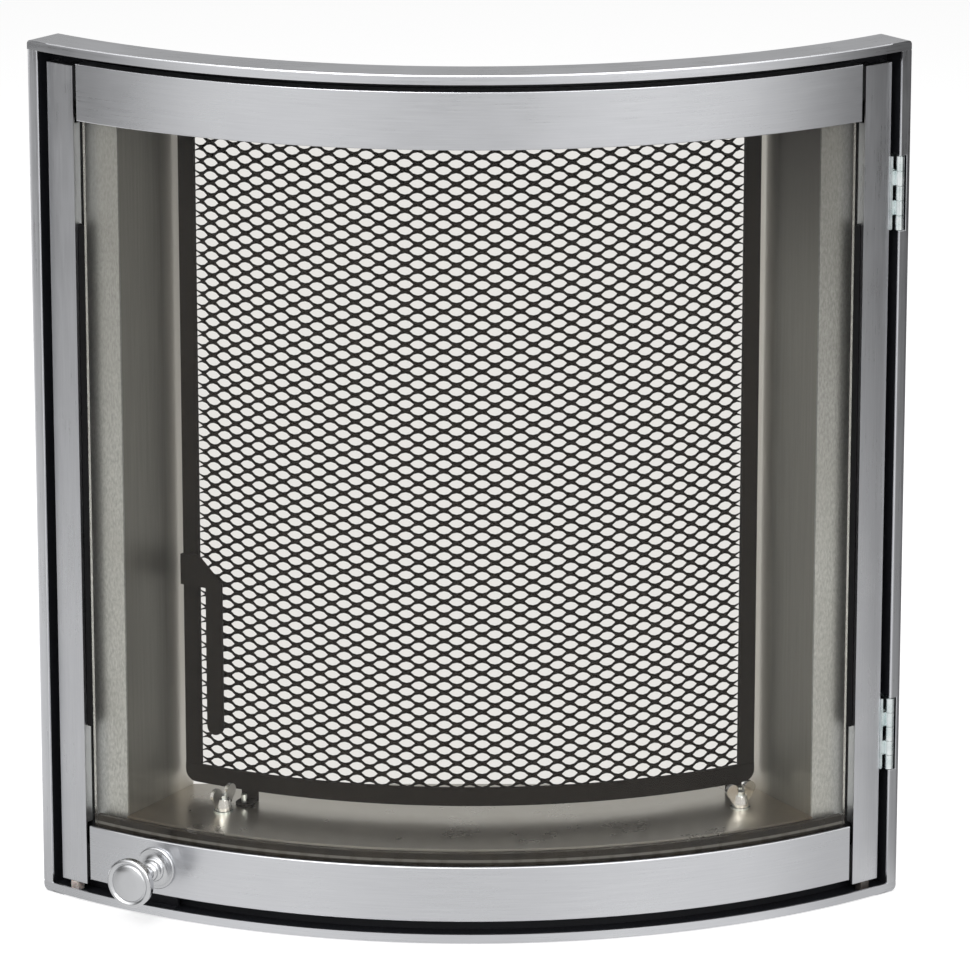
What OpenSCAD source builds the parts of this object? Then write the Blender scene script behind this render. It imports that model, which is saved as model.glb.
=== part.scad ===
// Bowed fireplace glass door: a stainless surround, a hinged glass door with a turning latch knob,
// a galvanised tunnel behind it, a lift-out expanded-metal spark guard and two wing nuts on the floor.
// Millimetres. +Z is up, the front faces -Y, and the origin is under the middle of the whole part.
// Everything curved turns about one vertical line, the bow axis, which lies behind the door.

/* [Surround] */
// Width over the side skirts, measured straight across
overall_w = 600; // [520:5:700]
// Height of the surround
overall_h = 612; // [540:2:720]
// Radius of the bowed front face
bow_r = 467; // [440:1:560]
// Depth of the skirt, front to back
casing_d = 28; // [26:1:40]
// Thickness of the surround's sheet
casing_t = 1.5; // [1:0.1:2]
// Width of the lip that shows round the door
lip_w = 6.5; // [5:0.5:9]
// Radius of the upper corners
corner_top_r = 3; // [2:0.2:4.4]
// Radius of the lower corners
corner_bottom_r = 4.4; // [2:0.2:4.4]

/* [Rebate frame] */
// Thickness of the black rebate sheet
rebate_t = 1.5; // [1:0.1:2]
// Distance from the closed door's back to the rebate's back flange
rebate_gap = 4; // [3.5:0.1:5]
// Width of the sealing tape on the rebate's back flange
seal_w = 8; // [5:0.5:10]
// Size of the nylon pads that the closed door rides on
pad_size = 7; // [5:0.5:9]

/* [Tunnel] */
// Distance from the surround's side in to the tunnel's side wall, straight across
tunnel_inset = 61.7; // [58:0.1:80]
// Thickness of the galvanised sheet
tunnel_t = 1.5; // [1:0.1:2]
// Height of the tunnel's floor above the surround's foot
floor_z = 63; // [58:0.5:72]
// Distance from the surround's top down to the tunnel's ceiling
ceiling_drop = 42; // [40:1:100]
// Depth from the bowed front face to the side walls' back ends
tunnel_d = 99; // [93:1:107]
// Radius of the two fixing holes in the ceiling
fixing_hole_r = 3.3; // [2.5:0.1:4]
// Distance between the two fixing holes
fixing_span = 240; // [160:5:300]
// Width of the tunnel's front flanges
flange_w = 29; // [24:0.5:30]

/* [Door] */
// Distance from the lip's face back to the door's face
door_recess = 6; // [5:0.5:8]
// Thickness of the door's sheet
door_t = 1.5; // [1:0.1:2]
// Depth of the folded door sections
door_d = 11; // [10:0.5:12]
// Clearance between the door and the lip's inner edge above
gap_top = 6; // [4:0.5:8]
// Clearance between the door and the lip's inner edge below
gap_bottom = 7; // [6:0.5:9]
// Clearance between the door and the lip's inner edge at each side
gap_side = 7; // [5:0.5:9]
// Height of the two rails
rail_h = 40; // [36:0.5:50]
// Width of the two stiles, measured straight across
stile_w = 18; // [16:0.5:26]
// How far the stiles reach below the rails
stile_low = 3.5; // [0:0.5:5]
// How far the stiles end below the top rail's upper edge
stile_top_drop = 2; // [0:0.5:4]
// Open joint between a rail's end and the stile
rail_joint = 3; // [1:0.5:3.5]

/* [Glass] */
// Thickness of the glass
glass_t = 4; // [3:0.5:4.5]
// How far the glass goes behind each rail
glass_lap = 12; // [8:0.5:16]
// How far the lower retainer shows above the rail
retainer_show = 8; // [5:0.5:12]
// Thickness of the retainer's lip behind the glass
retainer_lip_t = 1.6; // [1.5:0.1:1.9]
// Distance from each rail to the end of the black edge strips beside the glass
edge_strip_inset = 73; // [40:1:100]
// Width of the black edge strips
edge_strip_w = 5; // [3:0.5:6]

/* [Hinges] */
// Length of a hinge
hinge_l = 52; // [40:1:64]
// Outer diameter of the knuckles
knuckle_d = 6; // [5.5:0.1:6.4]
// Diameter of the hinge pin
hinge_pin_d = 3; // [2.5:0.1:3.4]
// Thickness of the hinge leaves
leaf_t = 1.2; // [1:0.1:1.3]
// Distance from the surround's top down to the upper hinge's middle
hinge_top_inset = 106; // [72:1:152]
// Height of the lower hinge's middle
hinge_lower_z = 117; // [90:1:160]

/* [Knob and latch] */
// Distance from the surround's left side in to the knob, straight across
knob_inset = 82; // [74:1:110]
// Diameter of the knob's head
knob_d = 35; // [28:0.5:40]
// Thickness of the knob's head
knob_head_t = 9; // [7:0.5:12]
// How far the knob stands out from the rail
knob_reach = 40; // [32:1:48]
// Diameter of the rosette
rosette_d = 30; // [24:0.5:36]
// Thickness of the rosette
rosette_t = 3; // [2:0.5:4]
// Diameter of the latch spindle
spindle_d = 8; // [6:0.5:9]
// Length of the latch tongue from the spindle's middle
tongue_l = 25.5; // [23:0.5:26]
// Thickness of the latch tongue
tongue_t = 1.8; // [1.5:0.1:1.9]

/* [Spark guard] */
// Distance from the bowed front face back to the guard's face
guard_recess = 85; // [82:0.5:87]
// Thickness of the guard's flat bars
bar_t = 3; // [2:0.5:4]
// Width of the guard's flat bars
bar_w = 13; // [10:0.5:16]
// Height of the guard's lower bar above the floor
guard_clear = 8; // [4:0.5:10]
// How far the guard lifts before it comes off its pins
lift = 12; // [10:0.5:13]
// Width of a mesh opening's repeat
mesh_pitch_w = 46; // [44:1:60]
// Height of a mesh opening's repeat
mesh_pitch_h = 27.4; // [27:0.2:40]
// Width of the mesh strands
strand_w = 5; // [3:0.5:7]
// Thickness of the mesh sheet
mesh_t = 1.5; // [1:0.1:2]
// Distance along the bow from the left wall to the left foot
foot_left_inset = 57.2; // [56:0.1:66]
// Distance along the bow from the right wall to the right foot
foot_right_inset = 21.4; // [19:0.1:32]
// Height of the handle's top above the guard's lower edge
handle_up = 172; // [150:1:250]
// Length of the handle's hanging arm
handle_l = 129; // [90:1:140]
// Distance from the guard's face to the back of the handle
handle_gap = 12; // [10:0.5:20]

/* [Wing nuts] */
// Distance along the bow from the left wall to the left wing nut
wing_left_inset = 52.4; // [44:0.1:76]
// Distance along the bow from the right wall to the right wing nut
wing_right_inset = 33.5; // [30:0.1:43]
// Distance from the guard's face out to the studs
stud_reach = 26; // [24:1:40]
// Diameter of the studs
stud_d = 6; // [5:0.5:6]
// Span over the two wings
wing_span = 25; // [22:0.5:26]
// Height of the wings over the washer
wing_h = 17; // [14:0.5:22]

/* [Hidden] */

// Smoothness of the large arcs and of the small round pieces
arc_fn = 240;
small_fn = 48;
// Working clearances
fit = 0.2;       // between sheets of one body that lie on each other
play = 0.3;      // between pieces that move past each other
run = 0.06;      // radial running fit of pins and spindles
over = 1;        // how far a cutter runs past what it cuts

// The bow and the door, as radii and angles about the bow axis
bow_a = asin(overall_w / 2 / bow_r);
skirt_back_r = bow_r - casing_d;
lip_back_r = bow_r - casing_t;
lip_a = asin((overall_w / 2 - lip_w) / bow_r);
hollow_a = bow_a - deg(casing_t, bow_r);
fold_limit = 2.9;
opening_half_w = overall_w / 2 - lip_w;
door_r = bow_r - door_recess;
door_back_r = door_r - door_d;
door_sheet_r = door_r - door_t;
door_a = asin((opening_half_w - gap_side) / door_r);
stile_in_a = asin((opening_half_w - gap_side - stile_w) / door_r);
door_z = lip_w + gap_bottom;
door_top_z = overall_h - lip_w - gap_top;
stile_z = door_z - stile_low;
stile_top_z = door_top_z - stile_top_drop;
rail_end_a = stile_in_a - deg(rail_joint, door_r);

// The glass and its retainers, which close the back of the rails
tape_t = 1.5;
glass_front_r = door_sheet_r - tape_t;
glass_back_r = glass_front_r - glass_t;
edge_strip_gap = 0.5;
edge_strip_out_a = stile_in_a - deg(edge_strip_gap, glass_front_r);
edge_strip_in_a = edge_strip_out_a - deg(edge_strip_w, glass_front_r);
glass_a = edge_strip_in_a - deg(fit, glass_front_r);
glass_z = door_z + rail_h - glass_lap;
glass_top_z = door_top_z - rail_h + glass_lap;
retainer_lip_r = glass_back_r - retainer_lip_t;
retainer_a = glass_a - deg(play, glass_front_r);
retainer_low_z = door_z + door_t + fit;
retainer_show_z = door_z + rail_h + retainer_show;
retainer_hide_z = door_top_z - rail_h;
retainer_top_z = door_top_z - door_t - fit;
screw_d = 4;
screw_head_d = 7;
screw_head_t = 0.9;
screw_inset = 6;
screw_end = 15;
screw_a = retainer_a - deg(screw_end, glass_front_r);
screw_angles = [-screw_a, -screw_a / 2, 0, screw_a / 2, screw_a];

// The rebate, with its back flange just behind the door
flange_r = door_back_r - rebate_gap;
rebate_back_r = flange_r - rebate_t;
rebate_out_a = bow_a - deg(casing_t + fit, bow_r);
rebate_in_a = rebate_out_a - deg(rebate_t, bow_r);
rebate_out_z = casing_t + fit;
rebate_in_z = rebate_out_z + rebate_t;
ceiling_z = overall_h - ceiling_drop;
rebate_open_z = floor_z - tunnel_t - fit;
rebate_open_top_z = ceiling_z + tunnel_t + fit;

// The tunnel stands through the rebate's opening and its side flanges lie on the rebate
wall_a = asin((overall_w / 2 - tunnel_inset) / flange_r);
tunnel_back_r = bow_r - tunnel_d;
tunnel_flange_r = flange_r + tunnel_t;
tunnel_flange_a = wall_a + deg(flange_w, flange_r);
flange_lap = 6;
rebate_open_a = tunnel_flange_a - deg(flange_lap, flange_r);
flange_foot_h = 12;
flange_head_h = 18;
tunnel_z = floor_z - flange_foot_h;
tunnel_top_z = ceiling_z + flange_head_h;
seal_r = door_back_r - play;
seal_in_a = tunnel_flange_a + deg(play, flange_r);
seal_out_a = seal_in_a + deg(seal_w, flange_r);

// The bow axis stands so that the origin is midway between the front and the tunnel's back corners
bow_y = (bow_r + tunnel_back_r * cos(wall_a)) / 2;

// The hinges
hinge_r = bow_r - knuckle_d / 2;
hinge_a = asin(opening_half_w / hinge_r);
hinge_upper_z = overall_h - hinge_top_inset;
knuckle_n = 5;
knuckle_l = hinge_l / knuckle_n;
knuckle_gap = 0.15;
leaf_slot = 2.2;
notch_r = knuckle_d / 2 + 1.2;
leaf_depth = 14;
rivet_head_d = 5;
rivet_head_t = 0.8;
rivet_z = hinge_l / 4;

// The knob and latch stand on the lower rail
knob_a = -asin((overall_w / 2 - knob_inset) / door_r);
knob_z = door_z + rail_h / 2;
rosette_r = door_r + rosette_t;
tongue_w = 10;
tongue_front_r = door_back_r - play - pow(tongue_l, 2) / 2 / door_back_r;
tongue_back_r = tongue_front_r - tongue_t;
collar_t = 4;
collar_r = retainer_lip_r + play;
collar_d = spindle_d + 5;
keeper_w = 24;
keeper_t = 2;
keeper_r = door_back_r + play;

// The spark guard hangs in a channel and stands on two feet
guard_r = bow_r - guard_recess;
guard_back_r = guard_r - bar_t;
guard_wall_gap = 3.2;
guard_a = wall_a - deg(tunnel_t + guard_wall_gap, guard_r);
foot_t = 2;
guard_foot_z = floor_z + play;
guard_z = floor_z + guard_clear;
channel_t = 1.5;
channel_hang = 20;
guard_top_z = ceiling_z - channel_t - play - lift;
guard_corner_r = 8;
foot_w = 12;
foot_reach = 9;
pin_r = guard_r + foot_reach - 1;
pin_angles = [-wall_a + deg(foot_left_inset, pin_r), wall_a - deg(foot_right_inset, pin_r)];
locating_pin_d = 4;
locating_pin_h = 8;
handle_w = 12;
handle_t = 3;
handle_r = guard_r + handle_gap;
handle_top_z = guard_z + handle_up;
handle_bend_h = 22;
handle_side_inset = 8;
handle_offset = 21;
handle_cut = 18;
handle_side_a = -guard_a + deg(handle_side_inset, handle_r);
handle_arm_a = -guard_a + deg(bar_w + handle_offset, handle_r);

// The wing nuts stand on the floor in front of the guard
stud_r = guard_r + stud_reach;
stud_angles = [-wall_a + deg(wing_left_inset, stud_r), wall_a - deg(wing_right_inset, stud_r)];
wing_turns = [78, 8];
stud_down = 20;
washer_t = 1.2;
washer_d = 14;
hub_d = 12;
hub_h = 8;
wing_t = 2.6;

// Angle that a length takes up at a radius
function deg(length, radius) = length / radius * 180 / PI;

// A bowed bar between two radii, two angles and two heights
module band(r1, r2, a1, a2, z1, z2) {
  translate([0, bow_y, 0])
    rotate([0, 0, a1 - 90])
      rotate_extrude(angle = a2 - a1, $fn = arc_fn)
        translate([r1, z1])
          square([r2 - r1, z2 - z1]);
}

// Stands its children at an angle and radius of the bow, with -Y pointing out from the bow axis
module at_bow(a, r, z = 0) {
  translate([0, bow_y, 0])
    rotate([0, 0, a])
      translate([0, -r, z])
        children();
}

// Runs a flat outline out from the bow axis, between two radii
module outward(a, r1, r2, z = 0) {
  at_bow(a, r1, z)
    rotate([90, 0, 0])
      linear_extrude(r2 - r1)
        children();
}

// A rod that points out from the bow axis, between two radii
module rod(a, r1, r2, z, d) {
  at_bow(a, r1, z)
    rotate([90, 0, 0])
      cylinder(h = r2 - r1, d = d, $fn = small_fn);
}

// What a rounded corner takes off a square one
module corner_cut(x, y, dx, dy, r) {
  difference() {
    translate([min(x, x + dx * r) - (dx > 0 ? over : 0), min(y, y + dy * r) - (dy > 0 ? over : 0)])
      square([r + over, r + over]);
    translate([x + dx * r, y + dy * r])
      circle(r = r, $fn = small_fn);
  }
}

// Room for the two hinges in the lip and the rebate
module hinge_notches() {
  for (z = [hinge_lower_z, hinge_upper_z])
    at_bow(hinge_a, hinge_r, z - hinge_l / 2 - play)
      cylinder(h = hinge_l + 2 * play, r = notch_r, $fn = small_fn);
}

// Folded stainless strip across the casing's top or bottom, with the lip and two rounded corners
module casing_across(z, hollow_z1, hollow_z2, edge_z, up, r) {
  color("silver")
    difference() {
      band(skirt_back_r, bow_r, -bow_a, bow_a, z, z + lip_w);
      band(skirt_back_r - over, lip_back_r, -hollow_a, hollow_a, hollow_z1, hollow_z2);
      for (s = [-1, 1])
        outward(s * bow_a, skirt_back_r - over, bow_r + over)
          corner_cut(0, edge_z, -s, up, min(r, fold_limit * casing_t));
    }
}

module casing_top() {
  casing_across(overall_h - lip_w, overall_h - lip_w - over, overall_h - casing_t,
    overall_h, -1, corner_top_r);
}

module casing_bottom() {
  casing_across(0, casing_t, lip_w + over, 0, 1, corner_bottom_r);
}

// Folded stainless side of the casing, between the top and bottom strips
module casing_side(side) {
  mirror([side < 0 ? 1 : 0, 0, 0])
    color("silver")
      difference() {
        band(skirt_back_r, bow_r, lip_a, bow_a, lip_w, overall_h - lip_w);
        band(skirt_back_r - over, lip_back_r, lip_a - 1, hollow_a, lip_w - over, overall_h - lip_w + over);
        if (side > 0)
          hinge_notches();
      }
}

module casing_left() { casing_side(-1); }
module casing_right() { casing_side(1); }

// Black folded angle along the casing's top or bottom, with a flange behind the door
module rebate_strip(skirt_z1, skirt_z2, flange_z1, flange_z2) {
  color([0.1, 0.1, 0.1]) {
    band(skirt_back_r, lip_back_r - fit, -rebate_in_a, rebate_in_a, skirt_z1, skirt_z2);
    band(rebate_back_r, flange_r, -rebate_in_a, rebate_in_a, flange_z1, flange_z2);
  }
}

module rebate_bottom() {
  rebate_strip(rebate_out_z, rebate_in_z, rebate_out_z, rebate_open_z);
}

module rebate_top() {
  rebate_strip(overall_h - rebate_in_z, overall_h - rebate_out_z,
    rebate_open_top_z, overall_h - rebate_out_z);
}

// Black folded angle along the casing's side
module rebate_side(side) {
  mirror([side < 0 ? 1 : 0, 0, 0])
    color([0.1, 0.1, 0.1])
      difference() {
        union() {
          band(skirt_back_r, lip_back_r - fit, rebate_in_a, rebate_out_a,
            rebate_out_z, overall_h - rebate_out_z);
          band(rebate_back_r, flange_r, rebate_open_a, rebate_out_a,
            rebate_open_z, rebate_open_top_z);
        }
        if (side > 0)
          hinge_notches();
      }
}

module rebate_left() { rebate_side(-1); }
module rebate_right() { rebate_side(1); }

// Black tapes on the rebate's flange, which the closed door meets
module seal_across(z) {
  color([0.15, 0.15, 0.15])
    band(flange_r, seal_r, -seal_in_a, seal_in_a, z, z + seal_w);
}

module seal_upright(side) {
  mirror([side < 0 ? 1 : 0, 0, 0])
    color([0.15, 0.15, 0.15])
      band(flange_r, seal_r, seal_in_a, seal_out_a,
        tunnel_z - play - seal_w, tunnel_top_z + play + seal_w);
}

module seal_top() { seal_across(tunnel_top_z + play); }
module seal_bottom() { seal_across(tunnel_z - play - seal_w); }
module seal_left() { seal_upright(-1); }
module seal_right() { seal_upright(1); }

// Two pale nylon pads under the door's lower corners
module door_rest_pads() {
  pad_a = (stile_in_a + door_a) / 2;
  color([0.85, 0.8, 0.78])
    for (a = [-pad_a, pad_a])
      at_bow(a, door_r + 0.5, rebate_in_z)
        translate([-pad_size / 2, 0, 0])
          cube([pad_size, pad_size, stile_z - play - rebate_in_z]);
}

// Plate on the rebate's floor that the latch tongue turns down behind
module latch_keeper() {
  lip_h = door_z - play - rebate_in_z - 2;
  color("silver")
    at_bow(knob_a, 0, rebate_in_z)
      translate([-keeper_w / 2, -keeper_r, 0]) {
        translate([0, -keeper_t, 0])
          cube([keeper_w, keeper_t, lip_h]);
        translate([0, -keeper_t - 4, 0])
          cube([keeper_w, 4, keeper_t]);
      }
}

// Galvanised side wall with its front flange turned outwards
module tunnel_wall(side) {
  mirror([side < 0 ? 1 : 0, 0, 0])
    color([0.62, 0.62, 0.58]) {
      band(tunnel_back_r, flange_r, wall_a - deg(tunnel_t, flange_r), wall_a,
        floor_z - tunnel_t, ceiling_z + tunnel_t);
      band(flange_r, tunnel_flange_r, wall_a - deg(tunnel_t, flange_r), tunnel_flange_a,
        tunnel_z, tunnel_top_z);
    }
}

module tunnel_wall_left() { tunnel_wall(-1); }
module tunnel_wall_right() { tunnel_wall(1); }

// Floor and ceiling reach from just behind the door to a straight edge between the side walls' back ends
sheet_a = wall_a - deg(tunnel_t + fit, tunnel_back_r);
sheet_front_r = door_back_r - 0.6;

module tunnel_sheet(z) {
  back_y = bow_y - tunnel_back_r * cos(sheet_a);
  difference() {
    band(tunnel_back_r * cos(sheet_a) - over, sheet_front_r, -sheet_a, sheet_a, z, z + tunnel_t);
    translate([-tunnel_back_r, back_y, z - over])
      cube([2 * tunnel_back_r, tunnel_back_r, tunnel_t + 2 * over]);
  }
}

// Galvanised floor with holes for the studs and pins
module tunnel_floor() {
  color([0.42, 0.41, 0.38])
    difference() {
      tunnel_sheet(floor_z - tunnel_t);
      for (a = stud_angles)
        at_bow(a, stud_r, floor_z - tunnel_t - over)
          cylinder(h = tunnel_t + 2 * over, d = stud_d + 2 * run, $fn = small_fn);
      for (a = pin_angles)
        at_bow(a, pin_r, floor_z - tunnel_t - over)
          cylinder(h = tunnel_t + 2 * over, d = locating_pin_d, $fn = small_fn);
    }
}

// Radius where the two fixing holes lie in the ceiling
fixing_r = (flange_r + guard_r) / 2;

// Galvanised ceiling with two fixing holes
module tunnel_ceiling() {
  color([0.5, 0.5, 0.47])
    difference() {
      tunnel_sheet(ceiling_z);
      for (s = [-1, 1])
        at_bow(s * asin(fixing_span / 2 / fixing_r), fixing_r, ceiling_z - over)
          cylinder(h = tunnel_t + 2 * over, r = fixing_hole_r, $fn = small_fn);
    }
}

// Channel under the ceiling that the guard's top edge slides up into
module guard_channel() {
  in_r = guard_back_r - play - mesh_t;
  out_r = guard_r + play;
  color([0.2, 0.2, 0.2])
    difference() {
      band(in_r - channel_t, out_r + channel_t, -guard_a, guard_a, ceiling_z - channel_hang, ceiling_z);
      band(in_r, out_r, -guard_a - 1, guard_a + 1,
        ceiling_z - channel_hang - over, ceiling_z - channel_t);
    }
}

// Two short pins in the floor that stand in the guard's feet
module guard_locating_pins() {
  color("silver")
    for (a = pin_angles)
      at_bow(a, pin_r, floor_z - tunnel_t)
        cylinder(h = tunnel_t + locating_pin_h, d = locating_pin_d, $fn = small_fn);
}

// Two studs clinched through the floor, with free ends below it
module clamp_studs() {
  color("silver")
    for (a = stud_angles)
      at_bow(a, stud_r, floor_z - tunnel_t - stud_down)
        cylinder(h = stud_down + tunnel_t + washer_t + hub_h + 3, d = stud_d, $fn = small_fn);
}

module clamp_washers() {
  color([0.75, 0.75, 0.75])
    for (a = stud_angles)
      at_bow(a, stud_r, floor_z)
        difference() {
          cylinder(h = washer_t, d = washer_d, $fn = small_fn);
          translate([0, 0, -over])
            cylinder(h = washer_t + 2 * over, d = stud_d + 2 * run, $fn = small_fn);
        }
}

// Wing nut with two rounded wings; its bore runs on the stud
module wing_nut(side) {
  base_z = floor_z + washer_t + play;
  wing_r = 5;
  tip_x = wing_span / 2 - wing_r;
  tip_z = wing_h - wing_r;
  color([0.85, 0.84, 0.8])
    at_bow(stud_angles[side], stud_r, base_z)
      rotate([0, 0, wing_turns[side]])
        difference() {
          union() {
            rotate_extrude($fn = small_fn)
              polygon([[0, 0], [hub_d / 2, 0], [hub_d / 2, 2], [hub_d / 2 - 1.5, hub_h], [0, hub_h]]);
            rotate([90, 0, 0])
              translate([0, 0, -wing_t / 2])
                linear_extrude(wing_t) {
                  for (s = [-1, 1]) {
                    translate([s * tip_x, tip_z])
                      circle(r = wing_r, $fn = small_fn);
                    polygon([
                      [s * (hub_d / 2 - 3), 1], [s * (hub_d / 2 - 0.5), 1],
                      [s * (tip_x + wing_r * 0.95), tip_z - wing_r * 0.3],
                      [s * (tip_x - wing_r * 0.95), tip_z + wing_r * 0.3],
                      [s * (hub_d / 2 - 3), hub_h]
                    ]);
                  }
                }
          }
          translate([0, 0, -over])
            cylinder(h = wing_h + 2 * over, d = stud_d + 2 * run, $fn = small_fn);
        }
}

module wing_nut_left() { wing_nut(0); }
module wing_nut_right() { wing_nut(1); }

// Knuckles of one leaf: the first, third and fifth, or the second and fourth
module knuckles(list) {
  for (i = list)
    translate([0, 0, -hinge_l / 2 + i * knuckle_l + knuckle_gap])
      cylinder(h = knuckle_l - 2 * knuckle_gap, d = knuckle_d, $fn = small_fn);
}

module pin_bore(radial_play) {
  translate([0, 0, -hinge_l / 2 - over])
    cylinder(h = hinge_l + 2 * over, d = hinge_pin_d + 2 * radial_play, $fn = small_fn);
}

// Room round the other leaf's knuckles
module knuckle_room(list, room) {
  for (i = list)
    translate([0, 0, -hinge_l / 2 + i * knuckle_l - knuckle_gap])
      cylinder(h = knuckle_l + 2 * knuckle_gap, r = knuckle_d / 2 + room, $fn = small_fn);
}

// Distance from the hinge's middle to the rebate wall's inner face
frame_wall_x = hinge_r * sin(rebate_in_a - hinge_a);

// Zinc leaves that lie on the rebate's side wall
module frame_hinge_leaves() {
  color([0.72, 0.8, 0.78])
    for (z = [hinge_lower_z, hinge_upper_z])
      at_bow(hinge_a, hinge_r, z)
        difference() {
          union() {
            difference() {
              translate([frame_wall_x - fit - leaf_t, 0, -hinge_l / 2])
                cube([leaf_t, leaf_depth, hinge_l]);
              knuckle_room([1, 3], play);
            }
            knuckles([0, 2, 4]);
          }
          pin_bore(0);
        }
}

module hinge_pins() {
  color([0.7, 0.7, 0.7])
    for (z = [hinge_lower_z, hinge_upper_z])
      at_bow(hinge_a, hinge_r, z - hinge_l / 2)
        cylinder(h = hinge_l, d = hinge_pin_d, $fn = small_fn);
}

// Rivets through the frame leaves and the rebate's wall
module frame_hinge_rivets() {
  color([0.7, 0.75, 0.74])
    for (z = [hinge_lower_z, hinge_upper_z], dz = [-rivet_z, rivet_z])
      at_bow(hinge_a, hinge_r, z + dz)
        translate([frame_wall_x - fit - leaf_t - rivet_head_t, leaf_depth - 4, 0])
          rotate([0, 90, 0])
            cylinder(h = rivet_head_t, d = rivet_head_d, $fn = small_fn);
}

// Where the door leaf's flange lies against the stile's outer return
stile_face_x = -hinge_r * sin(hinge_a - door_a);

// Zinc leaves that reach from the pin to the door's stile and fold back along it
module door_hinge_leaves() {
  plate_y = hinge_r - door_r - leaf_t;
  color([0.72, 0.8, 0.78])
    for (z = [hinge_lower_z, hinge_upper_z])
      at_bow(hinge_a, hinge_r, z)
        difference() {
          union() {
            difference() {
              translate([stile_face_x + fit, plate_y, -hinge_l / 2 + play])
                cube([-stile_face_x - fit, leaf_t, hinge_l - 2 * play]);
              knuckle_room([0, 2, 4], leaf_slot);
            }
            translate([stile_face_x + fit, plate_y, -hinge_l / 2 + play])
              cube([leaf_t, leaf_depth - 2, hinge_l - 2 * play]);
            knuckles([1, 3]);
          }
          pin_bore(run);
        }
}

module door_hinge_rivets() {
  color([0.7, 0.75, 0.74])
    for (z = [hinge_lower_z, hinge_upper_z], dz = [-rivet_z, rivet_z])
      at_bow(hinge_a, hinge_r, z + dz)
        translate([stile_face_x + fit + leaf_t, leaf_depth - 5, 0])
          rotate([0, 90, 0])
            cylinder(h = rivet_head_t, d = rivet_head_d, $fn = small_fn);
}

// Folded stainless upright with a return at each edge
module door_stile(side) {
  inner_return_z = door_z + rail_h + 2;
  inner_return_top_z = door_top_z - rail_h - 2;
  mirror([side < 0 ? 1 : 0, 0, 0])
    color([0.72, 0.72, 0.73]) {
      band(door_sheet_r, door_r, stile_in_a, door_a, stile_z, stile_top_z);
      band(door_back_r, door_sheet_r, door_a - deg(door_t, door_r), door_a, stile_z, stile_top_z);
      band(glass_back_r, door_sheet_r, stile_in_a, stile_in_a + deg(door_t, door_r),
        inner_return_z, inner_return_top_z);
    }
}

module door_stile_left() { door_stile(-1); }
module door_stile_right() { door_stile(1); }

// Bowed stainless rail: a face with one return at the door's outer edge
module door_rail(z, outer_z) {
  band(door_sheet_r, door_r, -rail_end_a, rail_end_a, z, z + rail_h);
  band(door_back_r, door_sheet_r, -rail_end_a, rail_end_a, outer_z, outer_z + door_t);
}

module door_rail_top() {
  color([0.76, 0.76, 0.77])
    door_rail(door_top_z - rail_h, door_top_z - door_t);
}

module door_rail_bottom() {
  color([0.76, 0.76, 0.77])
    difference() {
      door_rail(door_z, door_z);
      rod(knob_a, door_sheet_r - over, door_r + over, knob_z, spindle_d + 2 * run);
    }
}

// Plates behind the corners that join the rails to the stiles
module door_corner_plates() {
  plate_in_a = rail_end_a - deg(12, door_r);
  plate_out_a = door_a - deg(door_t + fit, door_r) - 0.1;
  plate_h = rail_h - glass_lap - 4;
  color([0.12, 0.12, 0.12])
    for (s = [-1, 1], z = [door_z + door_t + fit, door_top_z - door_t - fit - plate_h])
      mirror([s < 0 ? 1 : 0, 0, 0])
        band(door_sheet_r - 2, door_sheet_r, plate_in_a, plate_out_a, z, z + plate_h);
}

module door_glass() {
  color([0.8, 0.85, 0.83, 0.3])
    band(glass_back_r, glass_front_r, -glass_a, glass_a, glass_z, glass_top_z);
}

// Sealing tapes between the glass and the rails
module glass_seal_tapes() {
  tape_h = glass_lap - 2;
  color([0.1, 0.1, 0.1])
    for (z = [door_z + rail_h - tape_h, door_top_z - rail_h])
      band(glass_front_r, door_sheet_r - fit, -glass_a, glass_a, z, z + tape_h);
}

// Black strip that closes a rail's back, with a lip that presses the glass against the tape
module glass_retainer(z1, z2, lip_z1, lip_z2, screw_z) {
  difference() {
    union() {
      band(door_back_r, retainer_lip_r, -retainer_a, retainer_a, z1, z2);
      band(retainer_lip_r, glass_back_r, -retainer_a, retainer_a, lip_z1, lip_z2);
    }
    for (a = screw_angles)
      rod(a, door_back_r - over, glass_back_r, screw_z, screw_d);
  }
}

// The screws pass just outside the glass edges
screw_low_z = glass_z - screw_inset;
screw_top_z = glass_top_z + screw_inset;

module glass_retainer_bottom() {
  color([0.14, 0.13, 0.12])
    difference() {
      glass_retainer(retainer_low_z, retainer_show_z, glass_z, retainer_show_z, screw_low_z);
      rod(knob_a, door_back_r - over, glass_back_r, knob_z, spindle_d + 2);
    }
}

module glass_retainer_top() {
  color([0.14, 0.13, 0.12])
    glass_retainer(retainer_hide_z, retainer_top_z, retainer_hide_z, glass_top_z, screw_top_z);
}

// Screws with long shanks that stand on the rails and carry the retainers
module retainer_screws() {
  color("silver")
    for (a = screw_angles, z = [screw_low_z, screw_top_z])
      union() {
        rod(a, door_back_r - screw_head_t, door_back_r, z, screw_head_d);
        rod(a, door_back_r, door_sheet_r, z, screw_d);
      }
}

// Black strip that fills the gap between the glass edge and the stile
module glass_edge_strip(side) {
  strip_inset = rail_h + edge_strip_inset;
  mirror([side < 0 ? 1 : 0, 0, 0])
    color([0.06, 0.06, 0.06])
      band(glass_back_r, glass_front_r, edge_strip_in_a, edge_strip_out_a,
        door_z + strip_inset, door_top_z - strip_inset);
}

module glass_edge_strip_left() { glass_edge_strip(-1); }
module glass_edge_strip_right() { glass_edge_strip(1); }

// Turned pieces of the knob lie along +Z here and are then pointed out from the bow axis
module turned(r) {
  at_bow(knob_a, r, knob_z)
    rotate([90, 0, 0])
      rotate_extrude($fn = small_fn * 2)
        children();
}

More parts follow.
